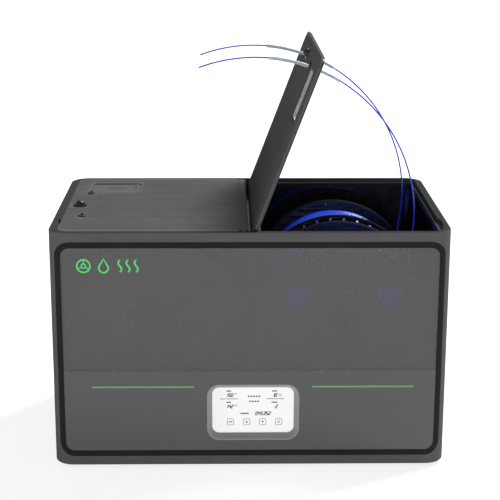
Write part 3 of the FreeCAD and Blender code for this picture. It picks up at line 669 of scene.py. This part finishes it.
def add_vent_knob(side):
    """Knob with a ribbed grip ring and a smooth dome."""
    bm = bmesh.new()
    z = RIM_Z + 0.2
    count, grips = 96, 24
    levels = ((8.0, 0.0, 0.0), (8.0, 1.2, 0.3), (7.6, 1.75, 0.2), (6.6, 1.95, 0.0))
    rings = []
    for radius, height, grip in levels:
        ring = []
        for i in range(count):
            a = 2 * math.pi * i / count
            r = radius - grip * (0.5 - 0.5 * math.cos(grips * a)) * 1.4
            ring.append(bm.verts.new((r * math.cos(a), r * math.sin(a), z + height)))
        rings.append(ring)
    for here, there in zip(rings, rings[1:]):
        bridge(bm, here, there)
    bm.faces.new(rings[-1])
    bm.faces.new(list(reversed(rings[0])))
    for radius, z0, z1 in ((3.0, HINGE_Z - 0.3, z + 0.2), (4.2, HINGE_Z - 1.6, HINGE_Z - 0.2)):
        add_prism(bm, [(x, y, z0) for x, y in circle(radius, 32)], (0, 0, z1 - z0))
    place = Matrix.Translation((HINGE_X + KNOB_REACH, KNOB_Y, 0))
    mesh = finish_mesh(bm, side + "_vent_knob_ribbed", smooth=True, turn=LID_TURN[side] @ place)
    new_object(side + "_vent_knob_ribbed", mesh, MATERIALS["knob_black"], side + "_vent",
               (side + "_vent_knob",))

    bm = bmesh.new()
    dome = [(0.01, 6.4), (1.4, 6.3), (2.6, 6.0), (3.7, 5.45), (4.5, 4.7), (5.0, 3.8),
            (5.25, 2.9), (5.3, 2.0), (5.3, 1.8), (0.01, 1.8)]
    lathe(bm, [(r, -z - height) for r, height in dome], 64)
    upright = Matrix.Rotation(math.radians(-90), 4, "X")
    mesh = finish_mesh(bm, side + "_vent_dome", smooth=True, turn=LID_TURN[side] @ place @ upright)
    new_object(side + "_vent_dome", mesh, MATERIALS["knob_black"], side + "_vent")


for lid_side in ("left", "right"):
    add_ribs(lid_side)
    add_label(lid_side)
    add_vent_knob(lid_side)


# ---------------------------------------------------------------- printing on the window
INK_T = 0.04               # how far all the printing stands proud
BESIDE = Matrix.Translation((DISPLAY_X, 0, 0))


def add_stroke(bm, points, width, closed=False, y=-HALF_D):
    """Flat ribbon along (x, z) points, printed on a face that looks to the front."""
    count = len(points)
    left, right = [], []
    for i, (x, z) in enumerate(points):
        before = points[i - 1] if closed or i > 0 else points[i]
        after = points[(i + 1) % count] if closed or i < count - 1 else points[i]
        along = Vector((after[0] - before[0], after[1] - before[1])).normalized()
        side = Vector((-along.y, along.x)) * width / 2
        left.append(Vector((x + side.x, y - INK_T, z + side.y)))
        right.append(Vector((x - side.x, y - INK_T, z - side.y)))
    push = Vector((0, INK_T + 0.1, 0))
    rings = [[bm.verts.new(a), bm.verts.new(b), bm.verts.new(b + push), bm.verts.new(a + push)]
             for a, b in zip(left, right)]
    pairs = list(zip(rings, rings[1:])) + ([(rings[-1], rings[0])] if closed else [])
    for here, there in pairs:
        bridge(bm, here, there)
    if not closed:
        bm.faces.new(rings[0])
        bm.faces.new(list(reversed(rings[-1])))


LINE_X, LINE_Z = (66.5, 181.0), 99.3
FAN_X, DROP_X, WARM_X, ICON_Z = -187.0, -165.0, -147.0, 241.0


def add_window_print():
    """Two lines beside the display, and a fan, a drop and rising warm air."""
    bm = bmesh.new()
    for sx in (-1, 1):
        add_stroke(bm, [(DISPLAY_X + sx * x, LINE_Z) for x in LINE_X], 1.9)
    new_object("window_lines", finish_mesh(bm, "window_lines"), INK_GREEN_PAINTED_GLOW, "casing")

    bm = bmesh.new()
    add_stroke(bm, circle(7.2, 48, FAN_X, ICON_Z), 1.9, True)
    add_stroke(bm, circle(2.4, 24, FAN_X, ICON_Z), 1.6, True)
    for turn in (90, 210, 330):
        a = math.radians(turn)
        blade = [(FAN_X + r * math.cos(a), ICON_Z + r * math.sin(a)) for r in (3.2, 6.3)]
        add_stroke(bm, blade, 1.3)
    drop = [(DROP_X, 249.0)]
    for i in range(13):
        a = math.radians(28 - 236 * i / 12)
        drop.append((DROP_X + 5.2 * math.cos(a), 238.6 + 5.2 * math.sin(a)))
    add_stroke(bm, drop, 1.9, True)
    for k in range(3):
        x = WARM_X + 9.0 * k
        wave = [(x + 1.8 * math.sin(2 * math.pi * i / 16), 234.0 + 14.0 * i / 16)
                for i in range(17)]
        add_stroke(bm, wave, 2.0)
    mesh = finish_mesh(bm, "window_icons", turn=BESIDE)
    new_object("window_icons", mesh, INK_BRIGHT_PAINTED_GLOW, "casing")


add_window_print()


# ---------------------------------------------------------------- what the screen shows
SEGMENTS = {
    "0": "abcdef", "1": "bc", "2": "abged", "3": "abgcd", "4": "fgbc", "5": "afgcd",
    "6": "afgedc", "7": "abc", "8": "abcdefg", "9": "abcdfg",
}
DIGIT_LEAN = 0.224      # sideways shift per unit of height
KEY_HALF = 3.7
KEYS_X, KEYS_Z = (-25.5, -7.2, 11.0, 29.2), 54.0


def add_mark(bm, points, width, closed=False):
    """Stroke on the screen's cover."""
    add_stroke(bm, points, width, closed, SCREEN_Y)


def add_digits(bm, text, x, z, high, weight=0.92):
    """Leaning seven-segment digits, centred on (x, z)."""
    wide, gap = high * 0.5, high * 0.26
    total = len(text) * (wide + gap) - gap
    for i, digit in enumerate(text):
        left = x - total / 2 + i * (wide + gap)
        ends = {
            "a": ((0, 1), (1, 1)), "g": ((0, 0), (1, 0)), "d": ((0, -1), (1, -1)),
            "f": ((0, 1), (0, 0)), "b": ((1, 1), (1, 0)),
            "e": ((0, 0), (0, -1)), "c": ((1, 0), (1, -1)),
        }
        for name in SEGMENTS[digit]:
            (ax, az), (bx, bz) = ends[name]
            points = []
            for px, pz in ((ax, az), (bx, bz)):
                zz = pz * high / 2
                points.append((left + px * wide + zz * DIGIT_LEAN, z + zz))
            add_mark(bm, points, weight)


def add_readout():
    """Numbers, bars and touch keys on the screen, with blocks where words would be."""
    bm = bmesh.new()
    for text, x, z, high in (("150", -26.6, 86.4, 3.8), ("142", -26.6, 72.6, 3.8),
                             ("10", 24.6, 86.4, 3.8), ("2", 26.6, 72.6, 3.8),
                             ("045352", 11.6, 64.2, 3.9)):
        add_digits(bm, text, x, z, high)
    for z in (87.9, 74.1):
        add_mark(bm, circle(0.75, 12, -19.6, z), 0.5, True)
    add_mark(bm, [(29.2, 84.9), (32.2, 88.0)], 0.45)
    add_mark(bm, circle(0.6, 10, 29.5, 87.6), 0.35, True)
    add_mark(bm, circle(0.6, 10, 31.9, 85.3), 0.35, True)
    for z, marks in ((84.9, 5), (78.8, 4)):   # two rows of plain blocks
        for i in range(marks):
            x = 1.2 + (i - (marks - 1) / 2) * 3.0
            add_mark(bm, [(x - 1.0, z), (x + 1.0, z)], 1.7)
    for sz, x in ((1, KEYS_X[1]), (-1, KEYS_X[2])):     # arrowheads in the two middle keys
        tip, foot, y = KEYS_Z + sz * 1.5, KEYS_Z - sz * 1.1, SCREEN_Y - INK_T
        add_prism(bm, [(x - 1.5, y, foot), (x + 1.5, y, foot), (x, y, tip)][::sz], (0, 0.1, 0))
    mesh = finish_mesh(bm, "screen_readout", turn=BESIDE)
    new_object("screen_readout", mesh, INK_SCREEN, "casing")

    bm = bmesh.new()
    for x, z, wide, thick in ((-27.3, 81.9, 20.5, 0.8), (25.2, 81.9, 20.0, 0.8),
                              (-27.6, 91.3, 5.4, 1.5), (-27.6, 77.7, 5.4, 1.5),
                              (24.4, 91.3, 6.0, 1.5), (24.4, 77.7, 6.6, 1.5),
                              (-9.6, 64.2, 9.4, 1.6)):
        add_mark(bm, [(x - wide / 2, z), (x + wide / 2, z)], thick)
    for x in KEYS_X:                          # touch keys
        key = rounded_box(x - KEY_HALF, x + KEY_HALF, KEYS_Z - KEY_HALF, KEYS_Z + KEY_HALF, 1.8, 4)
        add_mark(bm, key, 0.6, True)
    add_mark(bm, [(-27.6, KEYS_Z), (-23.4, KEYS_Z)], 1.3)
    for dz in (-1.2, 0.0, 1.2):
        add_mark(bm, [(27.6, KEYS_Z + dz), (30.8, KEYS_Z + dz)], 0.5)
    mesh = finish_mesh(bm, "screen_faint_marks", turn=BESIDE)
    new_object("screen_faint_marks", mesh, INK_FAINT, "casing")


add_readout()


# ---------------------------------------------------------------- floor and light
def add_floor():
    s = Shader("floor_white")
    cloud = s.noise(2.0, 3.0)
    s.link(s.ramp(cloud, [(0.3, (0.40, 0.40, 0.40, 1.0)), (0.7, (0.42, 0.42, 0.42, 1.0))]),
           s.bsdf.inputs["Base Color"])
    s.link(s.span(cloud, 0.7, 0.8), s.bsdf.inputs["Roughness"])
    s.set(Emission_Color=(1.0, 1.0, 1.0, 1.0), Emission_Strength=0.82)
    bm = bmesh.new()
    for x, y in ((-40, -40), (40, -40), (40, 40), (-40, 40)):
        bm.verts.new((x, y, 0))
    bm.faces.new(bm.verts)
    mesh = bpy.data.meshes.new("floor")
    bm.to_mesh(mesh)
    bm.free()
    mesh.materials.append(s.material)
    floor = bpy.data.objects.new("floor", mesh)
    SCENE.collection.objects.link(floor)


def add_light(name, place, target, size, power):
    data = bpy.data.lights.new(name, "AREA")
    data.shape = "RECTANGLE"
    data.size, data.size_y = size
    data.energy = power
    light = bpy.data.objects.new(name, data)
    SCENE.collection.objects.link(light)
    way = Vector(target) - Vector(place)
    turned = way.to_track_quat("-Z", "Y").to_matrix().to_4x4()
    light.matrix_world = Matrix.Translation(place) @ turned


def add_sun(name, toward, spread, strength):
    """Wide soft light from one direction, as from a large overhead panel."""
    data = bpy.data.lights.new(name, "SUN")
    data.angle = math.radians(spread)
    data.energy = strength
    light = bpy.data.objects.new(name, data)
    SCENE.collection.objects.link(light)
    light.matrix_world = (-Vector(toward)).to_track_quat("-Z", "Y").to_matrix().to_4x4()


add_floor()
add_sun("top_light", (0.46, 0.40, 0.80), 20.0, 4.6)
add_light("front_light", (-0.6, -2.8, 1.0), (0.0, 0.0, 0.2), (1.4, 1.2), 5.0)
world = bpy.data.worlds.new("studio")
world.use_nodes = True
world.node_tree.nodes["Background"].inputs["Color"].default_value = (1.0, 1.0, 1.0, 1.0)
world.node_tree.nodes["Background"].inputs["Strength"].default_value = 0.25
SCENE.world = world
SCENE.view_settings.view_transform = "Standard"

bpy.context.view_layer.update()
